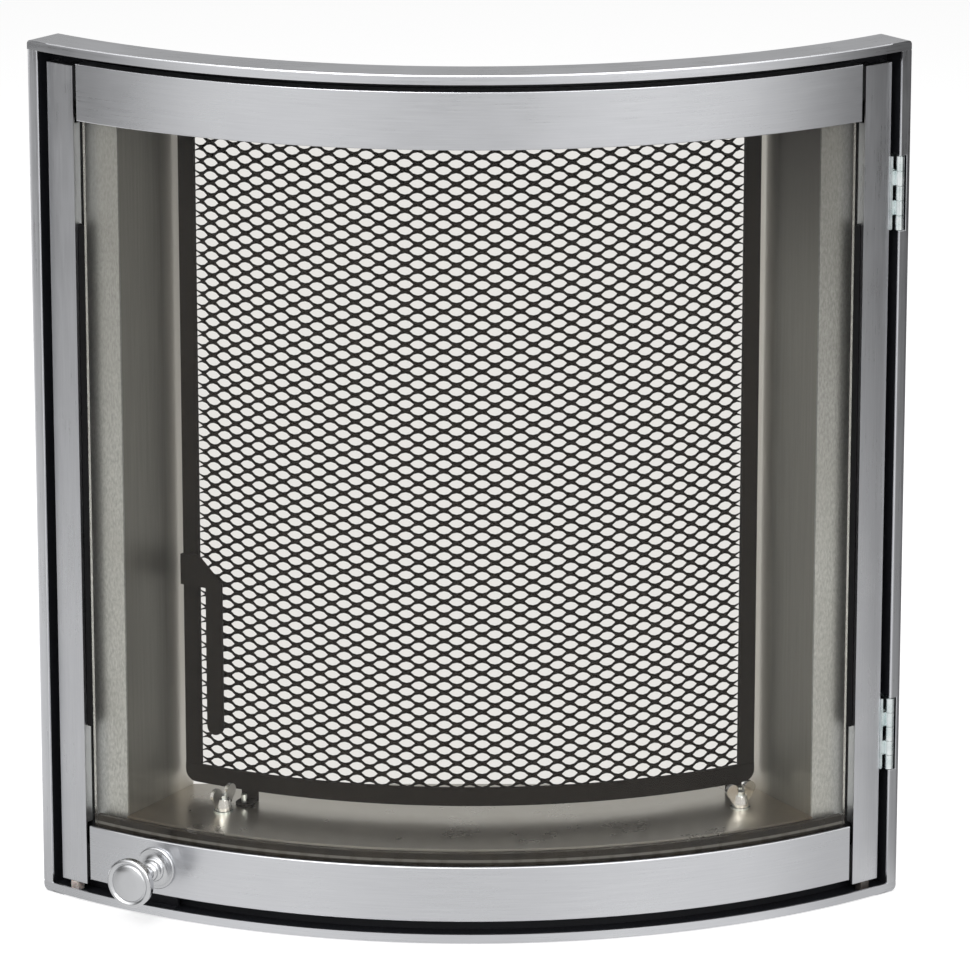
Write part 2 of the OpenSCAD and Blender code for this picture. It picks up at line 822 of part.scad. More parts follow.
module knob_rosette() {
  color([0.8, 0.8, 0.8])
    difference() {
      turned(door_r)
        polygon([
          [0, 0], [rosette_d / 2, 0], [rosette_d / 2, rosette_t * 0.4],
          [rosette_d / 2 - 1.2, rosette_t * 0.8], [rosette_d / 2 - 5, rosette_t], [0, rosette_t]
        ]);
      rod(knob_a, door_r - over, rosette_r + over, knob_z, spindle_d + 2 * run);
    }
}

// Knob with a waisted neck and a round head with a raised rim
module knob() {
  neck_r = spindle_d / 2 + 1.5;
  head_z = knob_reach - rosette_t - knob_head_t - play;
  face_z = head_z + knob_head_t;
  color([0.82, 0.82, 0.82])
    turned(rosette_r + play)
      polygon([
        [0, 0], [neck_r + 3, 0], [neck_r + 3, 2], [neck_r + 0.5, 3.5], [neck_r, 7],
        [neck_r, head_z - 8], [neck_r + 1.5, head_z - 4], [knob_d / 2 - 4, head_z - 1],
        [knob_d / 2 - 1, head_z + 1], [knob_d / 2, head_z + 3], [knob_d / 2, face_z - 2],
        [knob_d / 2 - 1.5, face_z], [knob_d / 2 - 4, face_z], [knob_d / 2 - 5, face_z - 1.2],
        [0, face_z - 0.6]
      ]);
}

// Spindle from the knob through the rosette and rail to the tongue
module latch_spindle() {
  color("silver")
    rod(knob_a, tongue_back_r, rosette_r + play, knob_z, spindle_d);
}

// Flat tongue; it lies level when unlatched and turns down behind the keeper
module latch_tongue() {
  color([0.75, 0.75, 0.75])
    outward(knob_a, tongue_back_r, tongue_front_r, knob_z)
      difference() {
        union() {
          translate([0, -tongue_w / 2])
            square([tongue_l - 2, tongue_w]);
          translate([tongue_l - 4, -tongue_w / 2])
            square([4, tongue_w - 3]);
          circle(d = tongue_w + 5, $fn = small_fn);
        }
        circle(d = spindle_d, $fn = small_fn);
      }
}

// Collar on the spindle, behind the rail, that keeps the knob from pulling out
module latch_collar() {
  color([0.7, 0.7, 0.7])
    outward(knob_a, collar_r, collar_r + collar_t, knob_z)
      difference() {
        circle(d = collar_d, $fn = small_fn);
        circle(d = spindle_d, $fn = small_fn);
      }
}

guard_bar_in_a = guard_a - deg(bar_w, guard_r);

// What is cut from the lower bar's end to round its corner, in short flats. The first and the last flat run
// on past the bar.
module guard_corner_waste(side) {
  flat_turn = 15;
  flat_reach = 4;
  arc = [for (t = [0:flat_turn:90])
    [side * guard_corner_r * (cos(t) - 1), guard_z + guard_corner_r * (1 - sin(t))]];
  last = len(arc) - 1;
  top = arc[0] + (arc[0] - arc[1]) * flat_reach;
  foot = arc[last] + (arc[last] - arc[last - 1]) * flat_reach;
  polygon(concat([foot, [top[0], foot[1]], top], [for (i = [1:last - 1]) arc[i]]));
}

module guard_bar(side) {
  mirror([side < 0 ? 1 : 0, 0, 0])
    color([0.2, 0.19, 0.18])
      band(guard_back_r, guard_r, guard_bar_in_a, guard_a, guard_z + bar_w, guard_top_z - bar_w);
}

module guard_bar_left() { guard_bar(-1); }
module guard_bar_right() { guard_bar(1); }

module guard_bar_top() {
  color([0.2, 0.19, 0.18])
    band(guard_back_r, guard_r, -guard_a, guard_a, guard_top_z - bar_w, guard_top_z);
}

module guard_bar_bottom() {
  color([0.2, 0.19, 0.18])
    difference() {
      band(guard_back_r, guard_r, -guard_a, guard_a, guard_z, guard_z + bar_w);
      for (s = [-1, 1])
        outward(s * guard_a, guard_back_r - over, guard_r + over)
          guard_corner_waste(s);
    }
}

// One of the four bowed panels of the expanded mesh, counted from the left. The real sheet is one piece
// and is drawn here with fewer and larger openings.
module guard_mesh_panel(panel) {
  sheet_r = guard_back_r - mesh_t;
  edge = bar_w / 2;
  sheet_half_a = guard_a - deg(edge, guard_r);
  net_a = guard_bar_in_a;
  net_z = guard_z + bar_w;
  net_top_z = guard_top_z - bar_w;
  panel_columns = round(net_a / 2 / deg(mesh_pitch_w, guard_r));
  rows = floor((net_top_z - net_z) / (mesh_pitch_h / 2)) - 1;
  step_a = net_a / 2 / panel_columns;
  step_z = (net_top_z - net_z) / (rows + 1);
  half_w = guard_r * step_a * PI / 180 / 2 - strand_w * 0.6;
  half_h = step_z - strand_w * 0.6;
  panel_a = -net_a + panel * net_a / 2;
  left_a = panel == 0 ? -sheet_half_a : panel_a;
  right_a = panel == 3 ? sheet_half_a : panel_a + net_a / 2;
  color([0.22, 0.21, 0.2])
    difference() {
      band(sheet_r, guard_back_r, left_a, right_a, guard_z + edge, guard_top_z - edge);
      for (row = [1:rows], column = [0:panel_columns - (row % 2 == 1 ? 0 : 1)])
        if (row % 2 == 0 || panel * panel_columns + column > 0
            && panel * panel_columns + column < 4 * panel_columns)
          outward(panel_a + step_a * (column + (row % 2 == 1 ? 0 : 0.5)),
            sheet_r - over, guard_back_r + over, net_z + step_z * row)
            polygon([[-half_w, 0], [0, -half_h], [half_w, 0], [0, half_h]]);
    }
}

module guard_mesh_left() { guard_mesh_panel(0); }
module guard_mesh_mid_left() { guard_mesh_panel(1); }
module guard_mesh_mid_right() { guard_mesh_panel(2); }
module guard_mesh_right() { guard_mesh_panel(3); }

// Handle: a pad on the left bar, a stem out to the front and a hanging flat arm
module guard_handle() {
  pad_in_a = -guard_a + deg(bar_w, guard_r);
  pad_inset = 2;
  arm_in_x = handle_w / 2;
  low_z = handle_top_z - handle_l;
  reach_x = handle_r * sin(handle_arm_a + guard_a) + 2;
  color([0.17, 0.16, 0.16]) {
    band(guard_r, handle_r + handle_t / 2, handle_side_a, pad_in_a - 0.1,
      handle_top_z - handle_bend_h + pad_inset, handle_top_z - pad_inset);
    intersection() {
      band(handle_r, handle_r + handle_t, handle_side_a, handle_arm_a + 2, low_z, handle_top_z);
      outward(handle_arm_a, handle_r - 4, handle_r + handle_t + 4, low_z) {
        difference() {
          translate([-reach_x, handle_l - handle_bend_h])
            square([reach_x + arm_in_x, handle_bend_h]);
          translate([arm_in_x, handle_l])
            rotate([0, 0, 45])
              square(handle_cut * sqrt(2), center = true);
        }
        translate([-arm_in_x, handle_w / 2])
          square([handle_w, handle_l - handle_bend_h]);
        translate([0, handle_w / 2])
          circle(d = handle_w, $fn = small_fn);
      }
    }
  }
}

// Two feet bent forward from under the lower bar, each with a hole for its locating pin
module guard_feet() {
  color([0.18, 0.17, 0.17])
    for (a = pin_angles)
      at_bow(a, pin_r, guard_foot_z)
        difference() {
          union() {
            cylinder(h = foot_t, d = foot_w, $fn = small_fn);
            translate([-foot_w / 2, 0, 0])
              cube([foot_w, pin_r - guard_back_r, foot_t]);
            translate([-foot_w / 2, pin_r - guard_r + play, 0])
              cube([foot_w, bar_t - play, guard_z - guard_foot_z]);
          }
          translate([0, 0, -over])
            cylinder(h = foot_t + 2 * over, d = locating_pin_d + 2 * play, $fn = small_fn);
        }
}

casing_top();
casing_bottom();
casing_left();
casing_right();
rebate_top();
rebate_bottom();
rebate_left();
rebate_right();
seal_top();
seal_bottom();
seal_left();
seal_right();
door_rest_pads();
latch_keeper();
tunnel_wall_left();
tunnel_wall_right();
tunnel_floor();
tunnel_ceiling();
guard_channel();
guard_locating_pins();
clamp_studs();
clamp_washers();
frame_hinge_leaves();
hinge_pins();
frame_hinge_rivets();
door_stile_left();
door_stile_right();
door_rail_top();
door_rail_bottom();
door_corner_plates();
door_glass();
glass_seal_tapes();
glass_retainer_top();
glass_retainer_bottom();
retainer_screws();
glass_edge_strip_left();
glass_edge_strip_right();
door_hinge_leaves();
door_hinge_rivets();
knob_rosette();
knob();
latch_spindle();
latch_tongue();
latch_collar();
guard_mesh_left();
guard_mesh_mid_left();
guard_mesh_mid_right();
guard_mesh_right();
guard_bar_left();
guard_bar_right();
guard_bar_top();
guard_bar_bottom();
guard_handle();
guard_feet();
wing_nut_left();
wing_nut_right();
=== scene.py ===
import math

import bmesh
import bpy
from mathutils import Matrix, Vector


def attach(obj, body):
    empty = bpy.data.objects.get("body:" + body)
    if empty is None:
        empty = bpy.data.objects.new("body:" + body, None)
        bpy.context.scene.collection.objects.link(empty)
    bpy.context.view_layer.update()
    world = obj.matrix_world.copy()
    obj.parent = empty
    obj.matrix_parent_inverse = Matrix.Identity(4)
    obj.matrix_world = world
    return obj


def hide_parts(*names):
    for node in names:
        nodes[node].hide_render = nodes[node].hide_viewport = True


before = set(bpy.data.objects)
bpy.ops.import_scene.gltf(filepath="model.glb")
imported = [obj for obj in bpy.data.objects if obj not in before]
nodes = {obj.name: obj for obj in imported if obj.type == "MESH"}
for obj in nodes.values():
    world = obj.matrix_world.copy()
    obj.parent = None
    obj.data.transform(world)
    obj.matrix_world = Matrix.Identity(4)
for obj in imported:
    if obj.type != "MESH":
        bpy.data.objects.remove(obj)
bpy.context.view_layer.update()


# Surround: strips of 1.5 mm stainless steel, folded into a narrow lip with a skirt behind it and joined at
# the corners. The sheet is brushed along its length, so the grain runs round the frame.

BOW_Y = 0.389034                   # the bow's axis stands this far behind the origin, in metres
RAIL_R = 0.461                     # from that axis to the front of the rails
LIP_R_MM = 467                     # from that axis to the front of the surround, in millimetres
SEAMS_MM = (6.5, 605.5)            # heights of the ground corner seams
FOLD_END_MM = 294                  # the strips' front folds are rounded up to here on both sides


def paint(code):
    """An sRGB hex colour as linear light."""
    parts = [int(code[i:i + 2], 16) / 255 for i in (1, 3, 5)]
    return tuple(c / 12.92 if c <= 0.04045 else ((c + 0.055) / 1.055) ** 2.4 for c in parts) + (1.0,)


def add(tree, kind, sockets=None, **settings):
    """Adds a node. Sockets take a value or the output that feeds them."""
    node = tree.nodes.new(kind)
    for name, value in settings.items():
        setattr(node, name, value)
    for name, value in (sockets or {}).items():
        if isinstance(value, bpy.types.NodeSocket):
            tree.links.new(value, node.inputs[name])
        else:
            node.inputs[name].default_value = value
    return node


def start(name, **shader):
    """A material with a principled shader whose constant sockets are set here."""
    made = bpy.data.materials.new(name)
    made.use_nodes = True
    made.node_tree.nodes.clear()
    sockets = {key.replace("_", " "): value for key, value in shader.items()}
    surface = add(made.node_tree, "ShaderNodeBsdfPrincipled", sockets)
    add(made.node_tree, "ShaderNodeOutputMaterial", {"Surface": surface.outputs[0]})
    return made, made.node_tree, surface


def place(tree, scale):
    """Object coordinates in metres, multiplied by the number of repeats in a metre along X, Y and Z."""
    here = add(tree, "ShaderNodeTexCoord").outputs["Object"]
    return add(tree, "ShaderNodeMapping", {"Vector": here, "Scale": scale}).outputs[0]


def bow_place(tree, scale):
    """Metres along the bow, out from the bow axis and up, multiplied by the repeats in a metre."""
    here = add(tree, "ShaderNodeTexCoord").outputs["Object"]
    moved = add(tree, "ShaderNodeVectorMath", {0: here, 1: (0, BOW_Y, 0)}, operation="SUBTRACT").outputs[0]
    split = add(tree, "ShaderNodeSeparateXYZ", {0: moved})
    back = add(tree, "ShaderNodeMath", {0: split.outputs[1], 1: -1.0}, operation="MULTIPLY").outputs[0]
    angle = add(tree, "ShaderNodeMath", {0: split.outputs[0], 1: back}, operation="ARCTAN2").outputs[0]
    arc = add(tree, "ShaderNodeMath", {0: angle, 1: RAIL_R}, operation="MULTIPLY").outputs[0]
    flat = add(tree, "ShaderNodeCombineXYZ", {0: split.outputs[0], 1: split.outputs[1]}).outputs[0]
    out = add(tree, "ShaderNodeVectorMath", {0: flat}, operation="LENGTH").outputs["Value"]
    joined = add(tree, "ShaderNodeCombineXYZ", {0: arc, 1: out, 2: split.outputs[2]}).outputs[0]
    return add(tree, "ShaderNodeMapping", {"Vector": joined, "Scale": scale}).outputs[0]


def noise(tree, where, detail=3.0, rough=0.5, scale=1.0):
    return add(tree, "ShaderNodeTexNoise",
               {"Vector": where, "Scale": scale, "Detail": detail, "Roughness": rough}).outputs[0]


def spread(tree, value, low, high, to_low, to_high):
    """Carries a value from one range to another and stops at its ends."""
    return add(tree, "ShaderNodeMapRange", {0: value, 1: low, 2: high, 3: to_low, 4: to_high}).outputs[0]


def fade(tree, value, low, high, to_low, to_high):
    """Like spread, with a soft start and end."""
    return add(tree, "ShaderNodeMapRange", {0: value, 1: low, 2: high, 3: to_low, 4: to_high},
               interpolation_type="SMOOTHSTEP").outputs[0]


def times(tree, *values):
    product = values[0]
    for value in values[1:]:
        product = add(tree, "ShaderNodeMath", {0: product, 1: value}, operation="MULTIPLY").outputs[0]
    return product


def blend(tree, value, first, second):
    """A colour between two, as the value goes from 0 to 1."""
    return add(tree, "ShaderNodeMix", {0: value, 6: first, 7: second}, data_type="RGBA").outputs[2]


def relief(tree, surface, height, depth_mm, strength=1.0):
    bump = add(tree, "ShaderNodeBump", {"Height": height, "Distance": depth_mm / 1000, "Strength": strength})
    tree.links.new(bump.outputs[0], surface.inputs["Normal"])


def brushed_stainless(name, grain, shine, tones=("#d2d3d6", "#dadbde")):
    """Stainless sheet with a belt-brushed grain. The real scratches are 0.1 mm wide and are drawn up to 1 mm
    wide so that they show. They streak the reflections along the grain; faint clouds are from handling."""
    made, tree, surface = start(name, Metallic=1.0)
    streak = noise(tree, bow_place(tree, grain), detail=3.0, rough=0.7)
    cloud = noise(tree, bow_place(tree, (16, 16, 16)), detail=4.0, rough=0.6)
    tone = blend(tree, spread(tree, streak, 0.3, 0.7, 0, 1), paint(tones[0]), paint(tones[1]))
    tree.links.new(blend(tree, spread(tree, cloud, 0.35, 0.7, 0, 0.3), tone, paint("#cbccd0")),
                   surface.inputs["Base Color"])
    rough = add(tree, "ShaderNodeMath", {0: spread(tree, streak, 0.3, 0.7, shine - 0.04, shine + 0.04),
                                         1: spread(tree, cloud, 0.35, 0.7, -0.03, 0.05)}, operation="ADD")
    tree.links.new(rough.outputs[0], surface.inputs["Roughness"])
    relief(tree, surface, streak, 0.001, 0.3)
    return made


def wear(material, *names):
    """Gives CAD nodes their material."""
    for name in names:
        if not nodes[name].material_slots:
            nodes[name].data.materials.append(material)
        for held in nodes[name].material_slots:
            held.material = material


def plain_shading(mesh):
    """Drops the facet shading that the frame's file carries."""
    if "custom_normal" in mesh.attributes:
        mesh.attributes.remove(mesh.attributes["custom_normal"])
    mesh.polygons.foreach_set("use_smooth", [True] * len(mesh.polygons))


def smooth(*names):
    """Smooth curves between sharp edges."""
    for name in names:
        plain_shading(nodes[name].data)
        nodes[name].modifiers.new("joined", "WELD").merge_threshold = 1e-6
        nodes[name].modifiers.new("edges", "EDGE_SPLIT").split_angle = math.radians(35)


def ease(width_mm, names, front_mm=None, seams_mm=(), until_mm=None):
    """Rounds the edges as folding and deburring leave them. With a front radius, only the edges out there
    get the full width. Ground corner seams at the given heights stay flush, and so do edges that reach
    further than until_mm to the sides."""
    for name in names:
        mesh = nodes[name].data
        plain_shading(mesh)
        nodes[name].modifiers.new("joined", "WELD").merge_threshold = 1e-6
        rounded = nodes[name].modifiers.new("eased", "BEVEL")
        rounded.width = width_mm / 1000
        rounded.segments = 3
        if front_mm is None:
            rounded.limit_method = "ANGLE"
            rounded.angle_limit = math.radians(50)
        else:
            rounded.limit_method = "WEIGHT"
            rounded.use_clamp_overlap = until_mm is None
            # The frame's mesh is cut along its sharp edges, so those have one face only
            uses = {}
            for polygon in mesh.polygons:
                for key in polygon.edge_keys:
                    uses[key] = uses.get(key, 0) + 1
            weights = mesh.attributes.new("bevel_weight_edge", "FLOAT", "EDGE")
            for edge in mesh.edges:
                ends = [mesh.vertices[i].co for i in edge.vertices]
                if uses[edge.key] > 1:
                    continue
                seam = any(all(abs(e.z * 1000 - z) < 0.01 for e in ends) for z in seams_mm)
                beyond = until_mm is not None and max(abs(e.x) for e in ends) * 1000 > until_mm
                if seam or beyond:
                    edge.use_edge_sharp = True
                    continue
                out = min(math.hypot(e.x, e.y - BOW_Y) for e in ends) * 1000
                weights.data[edge.index].value = 1.0 if out > front_mm - 0.1 else 0.15
        nodes[name].modifiers.new("flats", "WEIGHTED_NORMAL").keep_sharp = True


stainless_along = brushed_stainless("brushed_stainless_along", (22, 900, 900), 0.3)
# The uprights get a lighter tone than the rails: painted light.
stainless_upright = brushed_stainless("brushed_stainless_upright", (900, 900, 22), 0.3,
                                      ("#dcdde0", "#e5e6e9"))
wear(stainless_along, "casing_top", "casing_bottom")
wear(stainless_upright, "casing_left", "casing_right")
ease(1.1, ["casing_top", "casing_bottom"], LIP_R_MM, SEAMS_MM, FOLD_END_MM)
ease(1.1, ["casing_left", "casing_right"], LIP_R_MM, SEAMS_MM)


# Rebate frame: black powder-coated steel angles inside the surround. Their back flange lies a few
# millimetres behind the door, so that a deep black line runs round it.

powder_coat, tree, surface = start("black_powder_coat", Base_Color=paint("#1d1e23"), Roughness=0.5)
# Powder coat is smooth with a slight orange peel, which breaks up its soft shine
peel = noise(tree, place(tree, (700, 700, 700)), detail=2.0)
relief(tree, surface, peel, 0.05, 0.5)
tree.links.new(spread(tree, peel, 0.3, 0.7, 0.42, 0.58), surface.inputs["Roughness"])
wear(powder_coat, "rebate_top", "rebate_bottom", "rebate_left", "rebate_right", "latch_keeper")
smooth("rebate_top", "rebate_bottom", "rebate_left", "rebate_right")


# Sealing tapes: flat woven glass-fibre tape, dyed black and glued to the rebate's flange and between the
# glass and the rails.

glass_fibre, tree, surface = start("woven_glass_fibre_tape", Base_Color=paint("#17171a"), Roughness=0.85)
# Threads cross every 1.2 mm and give a dull grey fleck
weave = add(tree, "ShaderNodeTexWave",
            {"Vector": bow_place(tree, (1, 1, 1)), "Scale": 130.0, "Distortion": 1.5},
            bands_direction="DIAGONAL").outputs[1]
tree.links.new(blend(tree, weave, paint("#101012"), paint("#26262a")), surface.inputs["Base Color"])
relief(tree, surface, weave, 0.25)
wear(glass_fibre, "seal_top", "seal_bottom", "seal_left", "seal_right", "glass_seal_tapes")
smooth("seal_top", "seal_bottom", "seal_left", "seal_right", "glass_seal_tapes")


# Rest pads: two small blocks of uncoloured nylon glued to the rebate's floor. The closed door's lower
# corners ride up on them.

nylon, tree, surface = start("uncoloured_nylon", Base_Color=paint("#cfc4bd"), Roughness=0.5,
                             Subsurface_Weight=0.1, Subsurface_Scale=0.001)
# Cut from bar, with grey rub marks from the door. The one under the hinges is painted almost black:
# painted shade. The one under the hinges looks almost black; its colour is painted, and whether that is
# dirt or shade isn't known.
rub = noise(tree, place(tree, (350, 350, 350)))
tone = blend(tree, spread(tree, rub, 0.45, 0.75, 0, 1), paint("#cfc4bd"), paint("#8c827c"))
# Painted shade: the pad on the hinge side is made almost black
right = add(tree, "ShaderNodeSeparateXYZ", {0: place(tree, (1, 1, 1))}).outputs[0]
tree.links.new(blend(tree, spread(tree, right, -0.01, 0.01, 0, 0.9), tone, paint("#221f1e")),
               surface.inputs["Base Color"])
wear(nylon, "door_rest_pads")
ease(0.6, ["door_rest_pads"])


# Tunnel: bent galvanised sheet that leads from the door opening back to the fire. Its side walls end in
# front flanges with a grained, paler face, and its floor and ceiling lie between them.

galvanised, tree, surface = start("galvanised_sheet", Metallic=1.0)
# Zinc crystals of about 10 mm lie flat in the dip coat: soft grey patches with a cloudy mirror shine. The
# corners beside the walls are painted a faint darker brown.
spangle = add(tree, "ShaderNodeTexVoronoi",
              {"Vector": place(tree, (1, 1, 1)), "Scale": 95.0}).outputs["Color"]
patch = add(tree, "ShaderNodeSeparateColor", {0: spangle}).outputs[0]
haze = noise(tree, place(tree, (22, 22, 22)), detail=4.0, rough=0.6)
tone = blend(tree, patch, paint("#f0eee7"), paint("#f6f4ee"))
tone = blend(tree, spread(tree, haze, 0.35, 0.7, 0, 0.5), tone, paint("#e4e1d8"))
split = add(tree, "ShaderNodeSeparateXYZ", {0: add(tree, "ShaderNodeTexCoord").outputs["Object"]})
side = add(tree, "ShaderNodeMath", {0: split.outputs[0]}, operation="ABSOLUTE").outputs[0]
tree.links.new(blend(tree, spread(tree, side, 0.17, 0.235, 0, 0.8), tone, paint("#b8a68e")),
               surface.inputs["Base Color"])
tree.links.new(spread(tree, haze, 0.3, 0.7, 0.26, 0.34), surface.inputs["Roughness"])
wear(galvanised, "tunnel_floor", "tunnel_ceiling")

grained, tree, surface = start("grained_galvanised_sheet", Metallic=1.0)
FLANGE_R = 0.4459                  # the flange's back face, from the bow's axis
# The front flange has a rolled stucco grain of about 2 mm, with pale specks. The wall behind it is smooth,
# darker and drawn upright. Both are painted darker towards the top, most on the right: painted as a film
# of smoke, though it may be shade only.
stucco = noise(tree, place(tree, (800, 800, 330)), detail=2.0, rough=0.5)
haze = noise(tree, place(tree, (18, 18, 18)), detail=3.0)
drawn = noise(tree, place(tree, (500, 500, 14)), detail=3.0)
grey = blend(tree, spread(tree, stucco, 0.3, 0.7, 0, 1), paint("#cbcecd"), paint("#ecefee"))
grey = blend(tree, spread(tree, haze, 0.35, 0.7, 0, 0.4), grey, paint("#cccdca"))
here = add(tree, "ShaderNodeSeparateXYZ", {0: place(tree, (1, 1, 1))}).outputs
# Painted shade on the flange: darker towards the top, most on the right
painted_shade_tone = blend(tree, spread(tree, here[0], -0.01, 0.01, 0, 1), paint("#a1a2a0"), paint("#6a6966"))
grey = blend(tree, spread(tree, here[2], 0.25, 0.58, 0, 0.75), grey, painted_shade_tone)
dark = blend(tree, spread(tree, drawn, 0.3, 0.7, 0, 1), paint("#adada8"), paint("#b9b9b4"))
# Painted shade on the wall: darker towards the top, most on the right
painted_shade_mask = times(tree, spread(tree, here[0], -0.01, 0.01, 0, 0.85), fade(tree, here[2], 0.4, 0.58, 0, 1))
dark = blend(tree, painted_shade_mask, dark, paint("#5e5c5b"))
out = add(tree, "ShaderNodeSeparateXYZ", {0: bow_place(tree, (1, 1, 1))}).outputs[1]
# The wall's back end beside the guard is painted pale: painted light
dark = blend(tree, spread(tree, out, 0.384, 0.398, 1, 0), dark, paint("#f2f0ea"))
flange = add(tree, "ShaderNodeMath", {0: out, 1: FLANGE_R}, operation="GREATER_THAN").outputs[0]
tree.links.new(blend(tree, flange, dark, grey), surface.inputs["Base Color"])
tree.links.new(add(tree, "ShaderNodeMix", {0: flange, 2: spread(tree, drawn, 0.3, 0.7, 0.44, 0.52),
                                           3: spread(tree, stucco, 0.3, 0.7, 0.55, 0.42)}).outputs[0],
               surface.inputs["Roughness"])
height = add(tree, "ShaderNodeMath", {0: stucco, 1: flange}, operation="MULTIPLY").outputs[0]
relief(tree, surface, height, 0.15, 0.5)
wear(grained, "tunnel_wall_left", "tunnel_wall_right")
smooth("tunnel_wall_left", "tunnel_wall_right", "tunnel_floor", "tunnel_ceiling")


# Guard channel: a black steel channel under the ceiling. The spark guard's top edge slides up into it.

stove_paint, tree, surface = start("heatproof_stove_paint", Base_Color=paint("#1c1a18"), Roughness=0.6,
                                   Specular_IOR_Level=0.2)
# Sprayed matt paint: a dry, slightly dusty grey-brown black
dust = noise(tree, place(tree, (260, 260, 260)), detail=4.0, rough=0.7)
tree.links.new(blend(tree, spread(tree, dust, 0.35, 0.7, 0, 1), paint("#211e1c"), paint("#2d2926")),
               surface.inputs["Base Color"])
tree.links.new(spread(tree, dust, 0.3, 0.7, 0.55, 0.7), surface.inputs["Roughness"])
relief(tree, surface, dust, 0.03, 0.3)
wear(stove_paint, "guard_channel")
smooth("guard_channel")


# Hinges: two butt hinges of zinc-plated steel with a clear blue passivation. One leaf is riveted to the
# rebate and the other to the door's right stile, and five knuckles turn on a steel pin.

zinc, tree, surface = start("blue_passivated_zinc", Metallic=1.0)
# Bright plating with a cold green-blue cast and duller patches
cast = noise(tree, place(tree, (160, 160, 160)), detail=3.0)
tree.links.new(blend(tree, spread(tree, cast, 0.35, 0.65, 0, 1), paint("#dde7e7"), paint("#eff4f4")),
               surface.inputs["Base Color"])
tree.links.new(spread(tree, cast, 0.35, 0.65, 0.22, 0.36), surface.inputs["Roughness"])
relief(tree, surface, cast, 0.03, 0.5)
wear(zinc, "frame_hinge_leaves", "door_hinge_leaves", "hinge_pins", "frame_hinge_rivets", "door_hinge_rivets",
     "guard_locating_pins", "clamp_studs", "clamp_washers", "retainer_screws",
     "latch_spindle", "latch_tongue", "latch_collar")
smooth("frame_hinge_leaves", "door_hinge_leaves", "hinge_pins", "frame_hinge_rivets", "door_hinge_rivets",
       "latch_collar", "latch_spindle", "clamp_studs", "clamp_washers", "guard_locating_pins",
       "retainer_screws")


# Door frame: two folded stainless uprights and two bowed rails, brushed along their length, with black
# corner plates behind the joints. A narrow open joint is left between each rail's end and the upright.

wear(stainless_along, "door_rail_top", "door_rail_bottom")
wear(stainless_upright, "door_stile_left", "door_stile_right")
shadow_black, tree, surface = start("matt_black_painted_shade", Base_Color=paint("#0d0d0e"), Roughness=0.7,
                                    Specular_IOR_Level=0.15)
# Painted shade: near-black steel that hardly shines, so that the open joints and the strips beside the glass
# read as black
soot = noise(tree, place(tree, (300, 300, 300)))
tree.links.new(blend(tree, spread(tree, soot, 0.3, 0.7, 0, 1), paint("#0b0b0c"), paint("#121213")),
               surface.inputs["Base Color"])
wear(shadow_black, "door_corner_plates")
ease(0.9, ["door_rail_top", "door_rail_bottom", "door_stile_left", "door_stile_right"], RAIL_R * 1000)
smooth("door_corner_plates")


# Glass: one pane of 4 mm heat-proof glass, curved to the bow and clamped behind the rails.

pane, tree, surface = start("curved_heatproof_glass", Base_Color=paint("#e7e5e1"), Roughness=0.0,
                            Transmission_Weight=1.0, IOR=1.5, Specular_Tint=paint("#7c7c7c"))
# Clear with a faint grey cast and little reflection. Lamps shine through it onto what is behind.
clear = add(tree, "ShaderNodeBsdfTransparent", {"Color": paint("#f0efec")})
path = add(tree, "ShaderNodeLightPath")
hidden = add(tree, "ShaderNodeMath", {0: path.outputs["Is Shadow Ray"], 1: path.outputs["Is Diffuse Ray"]},
             operation="MAXIMUM")
mixed = add(tree, "ShaderNodeMixShader", {0: hidden.outputs[0], 1: surface.outputs[0], 2: clear.outputs[0]})
tree.links.new(mixed.outputs[0], tree.nodes["Material Output"].inputs["Surface"])
wear(pane, "door_glass")
smooth("door_glass")


# Glass retainers: black bowed strips screwed behind the rails, which close the rails' backs and press the
# glass onto its tape. Black strips fill the gap between the glass and the uprights.

retainer_black, tree, surface = start("burnished_black_steel", Base_Color=paint("#241f1a"), Roughness=0.4)
# Black with a brown cast, and a painted highlight along the lower one, where its rolled edge stands out
smoke = noise(tree, place(tree, (40, 40, 120)), detail=4.0)
tone = blend(tree, spread(tree, smoke, 0.35, 0.7, 0, 1), paint("#1f1b17"), paint("#352f27"))
up = add(tree, "ShaderNodeSeparateXYZ", {0: place(tree, (1, 1, 1))}).outputs[2]
# Painted highlight: a pale line along the rolled edge of the lower retainer
painted_highlight_band = times(tree, spread(tree, up, 0.0548, 0.0552, 0, 1), spread(tree, up, 0.0568, 0.0572, 1, 0))
tree.links.new(blend(tree, painted_highlight_band, tone, paint("#7d7b76")), surface.inputs["Base Color"])
tree.links.new(spread(tree, smoke, 0.3, 0.7, 0.4, 0.55), surface.inputs["Roughness"])
wear(retainer_black, "glass_retainer_top", "glass_retainer_bottom")
wear(shadow_black, "glass_edge_strip_left", "glass_edge_strip_right")
smooth("glass_retainer_top", "glass_retainer_bottom", "glass_edge_strip_left", "glass_edge_strip_right")


# Knob: turned brass, satin nickel plated, on a round rosette. The head is a disc with a beaded rim and a
# groove inside it, on a waisted neck. It turns the spindle that carries the latch tongue.

KNOB_A = -28.2199                  # the knob's place round the bow in degrees
KNOB_Z = 0.0335                    # and its height
SIDES = 96                         # flats round a turned piece


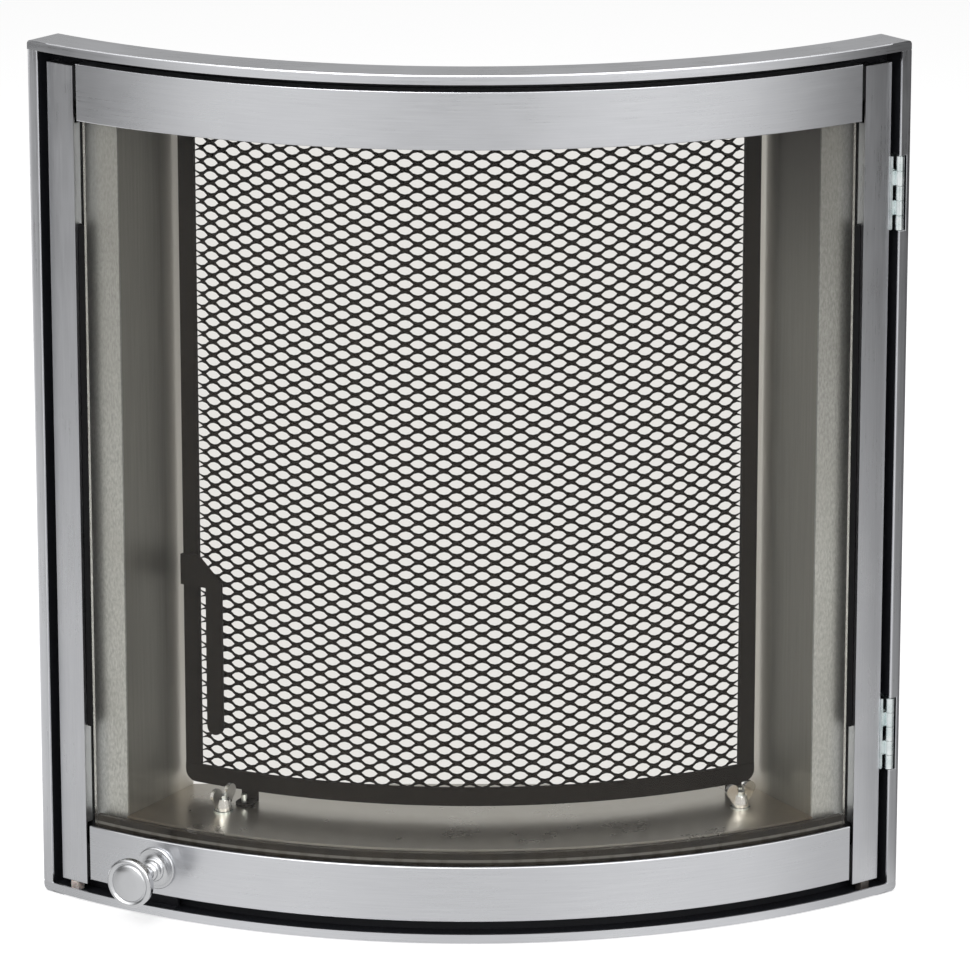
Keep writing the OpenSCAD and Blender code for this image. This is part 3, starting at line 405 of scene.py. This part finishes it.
def turned(name, profile_mm, material, body, replaced):
    """A turned piece on the knob's axis. The profile is radius and distance out from the rail's face."""
    mesh = bpy.data.meshes.new(name)
    work = bmesh.new()
    a = math.radians(KNOB_A)
    outward = Vector((math.sin(a), -math.cos(a), 0))
    across = Vector((math.cos(a), math.sin(a), 0))
    foot = Vector((RAIL_R * math.sin(a), BOW_Y - RAIL_R * math.cos(a), KNOB_Z))
    rings = []
    for radius, reach in profile_mm:
        centre = foot + outward * (reach / 1000)
        if radius == 0:
            rings.append([work.verts.new(centre)])
            continue
        rings.append([work.verts.new(centre + across * (radius / 1000 * math.cos(t))
                                     + Vector((0, 0, radius / 1000 * math.sin(t))))
                      for t in (2 * math.pi * i / SIDES for i in range(SIDES))])
    for low, high in zip(rings, rings[1:]):
        for i in range(SIDES):
            j = (i + 1) % SIDES
            corners = [low[i % len(low)], low[j % len(low)], high[j % len(high)], high[i % len(high)]]
            kept = list(dict.fromkeys(corners))
            work.faces.new(kept)
    bmesh.ops.recalc_face_normals(work, faces=work.faces)
    work.to_mesh(mesh)
    work.free()
    mesh.polygons.foreach_set("use_smooth", [True] * len(mesh.polygons))
    mesh.materials.append(material)
    piece = bpy.data.objects.new(name, mesh)
    bpy.context.scene.collection.objects.link(piece)
    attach(piece, body)
    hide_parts(replaced)
    return piece


def arc(centre_r, centre_z, radius, from_deg, to_deg, steps=8):
    """Points of a round moulding in a profile."""
    turn = [math.radians(from_deg + (to_deg - from_deg) * i / steps) for i in range(steps + 1)]
    return [(centre_r + radius * math.cos(t), centre_z + radius * math.sin(t)) for t in turn]


satin_nickel, tree, surface = start("satin_nickel_plate", Metallic=1.0)
# A fine satin brushing under clear plating, slightly warm, with a soft even shine
satin = noise(tree, place(tree, (1100, 1100, 1100)), detail=3.0)
tree.links.new(blend(tree, spread(tree, satin, 0.3, 0.7, 0, 1), paint("#cdced0"), paint("#d1d2d4")),
               surface.inputs["Base Color"])
tree.links.new(spread(tree, satin, 0.3, 0.7, 0.21, 0.24), surface.inputs["Roughness"])

plate = [(4.1, 0.0), (15.0, 0.0), (15.0, 1.0)] + arc(14.0, 1.3, 1.0, 0, 90, 5)
plate += [(12.6, 2.0), (11.9, 1.9), (8.0, 2.5), (7.6, 3.0), (4.1, 3.0), (4.1, 0.0)]
turned("rosette", plate, satin_nickel, "door", "knob_rosette")
neck = [(0.0, 3.3), (7.4, 3.3)] + arc(7.0, 4.6, 1.5, -60, 90, 6) + [(5.6, 6.6), (5.1, 7.4)]
neck += arc(4.6, 9.6, 2.2, -60, 60, 6) + [(5.2, 12.2), (4.8, 14.0), (4.7, 20.0)]
head = [(5.2, 23.5), (6.6, 26.4), (9.5, 28.9), (13.0, 30.3)] + arc(14.5, 32.6, 2.6, -70, 10, 6)
head += arc(15.5, 36.0, 2.0, 0, 110, 8)
face = [(14.0, 36.7), (13.4, 36.5), (12.9, 37.2), (12.2, 37.8), (6.0, 38.0), (0.0, 38.0)]
turned("turned_knob", neck + head + face, satin_nickel, "latch", "knob")


# Spark guard: a frame of flat black bars with a sheet of expanded metal welded behind it. Two feet stand on
# pins in the floor, and a J-shaped handle of flat bar is welded to the left upright.

wear(stove_paint, "guard_bar_left", "guard_bar_right", "guard_bar_top", "guard_bar_bottom", "guard_handle",
     "guard_feet")
ease(0.6, ["guard_bar_left", "guard_bar_right", "guard_bar_top", "guard_bar_bottom", "guard_handle"])
smooth("guard_feet")

LOW_Z, HIGH_Z = 77.6, 549.6        # the sheet's lower and upper edge in millimetres
HALF_A = 30.55                     # half its bow in degrees
FRONT_R, BACK_R = 379.0, 377.5     # its front and back faces
INSET = 0.35                       # the strands' middles stay this far inside those faces
LEAN = 0.5                         # how far a strand's edges lean out of the sheet
REPEAT_W, REPEAT_H = 17.6, 9.45    # one opening's repeat
COLUMNS = round(2 * math.radians(HALF_A) * FRONT_R / REPEAT_W)
ROWS = round((HIGH_Z - LOW_Z) / REPEAT_H)
# One opening as shares of the half repeat, from its left tip round: a flattened lens. Beside it are the
# points of the diamond that the strands' middles follow.
LENS = [(-0.66, 0), (-0.35, 0.48), (0, 0.64), (0.35, 0.48),
        (0.66, 0), (0.35, -0.48), (0, -0.64), (-0.35, -0.48)]
DIAMOND = [(-1, 0), (-0.5, 0.5), (0, 1), (0.5, 0.5), (1, 0), (0.5, -0.5), (0, -1), (-0.5, -0.5)]
work = bmesh.new()
found = {}


def bowed(u, v, lean, face):
    """A point of the sheet: millimetres along the bow and up, the strand's lean, and the face it is on."""
    key = (round(u, 3), round(v, 3), face)
    if key not in found:
        r = ((FRONT_R - INSET if face == 0 else BACK_R + INSET) + lean) / 1000
        t = u / FRONT_R
        found[key] = work.verts.new((r * math.sin(t), BOW_Y - r * math.cos(t), v / 1000))
    return found[key]


half_w = math.radians(HALF_A) * FRONT_R / COLUMNS
half_h = (HIGH_Z - LOW_Z) / ROWS / 2
for row in range(1, 2 * ROWS):
    for column in range(COLUMNS - (row % 2 == 0)):
        u0 = (2 * column + 1 + (row % 2 == 0) - COLUMNS) * half_w
        v0 = LOW_Z + row * half_h
        for k in range(8):
            j = (k + 1) % 8
            inner = [[bowed(u0 + LENS[i][0] * half_w, v0 + LENS[i][1] * half_h, -LEAN * LENS[i][1], f)
                      for i in (k, j)] for f in (0, 1)]
            outer = [[bowed(u0 + DIAMOND[i][0] * half_w, v0 + DIAMOND[i][1] * half_h, 0, f)
                      for i in (k, j)] for f in (0, 1)]
            work.faces.new([inner[0][0], inner[0][1], outer[0][1], outer[0][0]])
            work.faces.new([inner[1][1], inner[1][0], outer[1][0], outer[1][1]])
            work.faces.new([inner[0][1], inner[0][0], inner[1][0], inner[1][1]])
bmesh.ops.holes_fill(work, edges=[e for e in work.edges if e.is_boundary], sides=4)
bmesh.ops.recalc_face_normals(work, faces=work.faces)
mesh = bpy.data.meshes.new("expanded_mesh")
work.to_mesh(mesh)
work.free()
mesh.materials.append(stove_paint)
expanded = bpy.data.objects.new("expanded_mesh", mesh)
bpy.context.scene.collection.objects.link(expanded)
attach(expanded, "spark_guard")
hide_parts("guard_mesh_left", "guard_mesh_mid_left", "guard_mesh_mid_right", "guard_mesh_right")


# Wing nuts: cast and bright chromed, one near each end of the guard. They run on studs through the floor
# and clamp the tunnel down.

chrome, tree, surface = start("bright_chrome_plate", Metallic=1.0)
# Polished plating over a slightly uneven casting
ripple = noise(tree, place(tree, (260, 260, 260)), detail=2.0)
tree.links.new(blend(tree, ripple, paint("#e6e6e6"), paint("#f3f3f2")), surface.inputs["Base Color"])
tree.links.new(spread(tree, ripple, 0.3, 0.7, 0.07, 0.16), surface.inputs["Roughness"])
relief(tree, surface, ripple, 0.15, 0.6)
wear(chrome, "wing_nut_left", "wing_nut_right")
ease(0.7, ["wing_nut_left", "wing_nut_right"])


# Studio: a plain white floor under soft light, with a white background. What the metal mirrors is set apart
# from what lights it, in the floor's and the world's materials: a bright front, a dimmer back and dark sides.

floor_mesh = bpy.data.meshes.new("studio_floor")
floor_mesh.from_pydata([(-20, -20, 0), (20, -20, 0), (20, 20, 0), (-20, 20, 0)], [], [(0, 1, 2, 3)])
floor = bpy.data.objects.new("studio_floor", floor_mesh)
bpy.context.scene.collection.objects.link(floor)
floor.location.z = -0.0005
white_floor = bpy.data.materials.new("white_studio_floor")
white_floor.use_nodes = True
tree = white_floor.node_tree
tree.nodes.clear()
# Matt white board: it takes the object's shadow, and what the camera sees of it is lifted to white. Through
# the glass it is plain white. In the metal it is the bright studio in front, which darkens towards both
# sides and with distance, with a window on the left.
board = add(tree, "ShaderNodeBsdfDiffuse", {"Color": paint("#dedede")})
path = add(tree, "ShaderNodeLightPath")
lift = add(tree, "ShaderNodeMath", {0: path.outputs["Is Camera Ray"], 1: 0.45}, operation="MULTIPLY")
glow = add(tree, "ShaderNodeEmission", {"Color": (1, 1, 1, 1), "Strength": lift.outputs[0]})
both = add(tree, "ShaderNodeAddShader", {0: board.outputs[0], 1: glow.outputs[0]})


# Seen in the bowed sheet, a spot on the floor stands for one direction of the room. Round the bow's axis that
# is the spot's own angle, made larger close to the door. Angles are in radians and distances in metres.
here = add(tree, "ShaderNodeSeparateXYZ", {0: bow_place(tree, (1, 1, 1))}).outputs
turn = add(tree, "ShaderNodeMath", {0: here[0], 1: RAIL_R}, operation="DIVIDE").outputs[0]
near = add(tree, "ShaderNodeMath", {0: RAIL_R / 2, 1: here[1]}, operation="DIVIDE").outputs[0]
near = add(tree, "ShaderNodeMath", {0: 1.0, 1: near}, operation="SUBTRACT").outputs[0]
facing = add(tree, "ShaderNodeMath", {0: turn, 1: near}, operation="DIVIDE").outputs[0]
side = add(tree, "ShaderNodeMath", {0: facing}, operation="ABSOLUTE").outputs[0]
far = here[1]
# Both sides dim with distance, and the middle is a little dimmer than what lies beside it
edge = fade(tree, far, 0.7, 2.8, 0.68, 0.15)
turned_away = fade(tree, side, 0.8, 1.33, 0, 1)
dimmed = add(tree, "ShaderNodeMix", {0: turned_away, 2: 1.0, 3: edge}).outputs[0]
middle = fade(tree, far, 0.6, 2.4, 0.89, 0.72)
ahead = add(tree, "ShaderNodeMix", {0: fade(tree, side, 0.09, 0.52, 0, 1), 2: middle, 3: 1.0}).outputs[0]
# A dark stand on the right, a soft glow from behind and a window on the left
right = add(tree, "ShaderNodeMath", {0: fade(tree, facing, 1.33, 1.5, 1.0, 0.15),
                                    1: fade(tree, facing, 1.75, 1.95, 0, 1)}, operation="MAXIMUM").outputs[0]
back = fade(tree, side, 1.75, 2.0, 0, 0.4)
window = times(tree, fade(tree, facing, -1.75, -1.45, 0.95, 0), fade(tree, facing, -2.15, -1.9, 0, 1))
near_right = add(tree, "ShaderNodeMix", {0: fade(tree, facing, 1.15, 1.35, 0, 1), 2: 1.0,
                                         3: fade(tree, far, 1.0, 2.3, 1.15, 0.88)}).outputs[0]
level = add(tree, "ShaderNodeMath", {0: times(tree, dimmed, ahead, right, near_right, 0.87), 1: back},
            operation="MAXIMUM")
level = add(tree, "ShaderNodeMath", {0: level.outputs[0], 1: window}, operation="ADD").outputs[0]
mirror = add(tree, "ShaderNodeEmission", {"Color": (1, 1, 1, 1), "Strength": level})
choice = add(tree, "ShaderNodeMixShader", {0: path.outputs["Is Glossy Ray"], 1: both.outputs[0],
                                           2: mirror.outputs[0]})
white = add(tree, "ShaderNodeEmission", {"Color": (1, 1, 1, 1), "Strength": 1.0})
through = add(tree, "ShaderNodeMixShader", {0: path.outputs["Is Transmission Ray"], 1: choice.outputs[0],
                                            2: white.outputs[0]})
add(tree, "ShaderNodeOutputMaterial", {"Surface": through.outputs[0]})
floor_mesh.materials.append(white_floor)

world = bpy.data.worlds.new("soft_studio")
bpy.context.scene.world = world
world.use_nodes = True
tree = world.node_tree
tree.nodes.clear()
split = add(tree, "ShaderNodeSeparateXYZ", {0: add(tree, "ShaderNodeTexCoord").outputs["Generated"]})
side = add(tree, "ShaderNodeMath", {0: split.outputs[0]}, operation="ABSOLUTE").outputs[0]
# In the metal the room is brightest high up in front
ahead = fade(tree, split.outputs[1], -0.3, 0.6, 1.0, 0.4)
above = fade(tree, split.outputs[2], 0.35, 0.6, 1.0, 1.7)
behind = fade(tree, split.outputs[1], -0.1, 0.3, 0, 1)
above = add(tree, "ShaderNodeMix", {0: behind, 2: above, 3: 1.0}).outputs[0]
shine = times(tree, ahead, above, fade(tree, side, 0.7, 1.0, 1.0, 0.15))
path = add(tree, "ShaderNodeLightPath")
white = add(tree, "ShaderNodeMath",
            {0: path.outputs["Is Camera Ray"], 1: path.outputs["Is Transmission Ray"]},
            operation="MAXIMUM").outputs[0]
soft = add(tree, "ShaderNodeMix", {0: path.outputs["Is Glossy Ray"], 2: 0.55, 3: shine}).outputs[0]
level = add(tree, "ShaderNodeMix", {0: white, 2: soft, 3: 1.0}).outputs[0]
sky = add(tree, "ShaderNodeBackground", {"Color": (1, 1, 1, 1), "Strength": level})
add(tree, "ShaderNodeOutputWorld", {"Surface": sky.outputs[0]})


def softbox(name, where, aim, size, watts):
    lamp = bpy.data.lights.new(name, "AREA")
    lamp.shape = "RECTANGLE"
    lamp.size, lamp.size_y = size
    lamp.energy = watts
    held = bpy.data.objects.new(name, lamp)
    bpy.context.scene.collection.objects.link(held)
    held.location = where
    held.rotation_euler = (Vector(aim) - Vector(where)).to_track_quat("-Z", "Y").to_euler()


softbox("front_softbox", (-1.0, -2.6, 2.4), (0, 0, 0.3), (1.8, 1.8), 45)
softbox("front_fill", (1.5, -2.8, 1.6), (0, 0, 0.3), (1.4, 1.8), 18)
softbox("top_softbox", (0.0, 0.6, 2.8), (0, 0, 0.3), (2.0, 1.6), 30)


# Camera: a long lens well in front of the door and above it, looking down.

LOOKS_DOWN = 16.531                # degrees below level
TURNED = 0.139                     # degrees to the left

lens = bpy.data.cameras.new("view")
lens.sensor_width = 36
lens.lens = 236.8
lens.clip_end = 100
view = bpy.data.objects.new("view", lens)
bpy.context.scene.collection.objects.link(view)
view.location = (0.0209, -4.2, 1.5531)
view.rotation_euler = (math.radians(90 - LOOKS_DOWN), 0, math.radians(TURNED))
bpy.context.scene.camera = view
bpy.context.scene.view_settings.view_transform = "Standard"
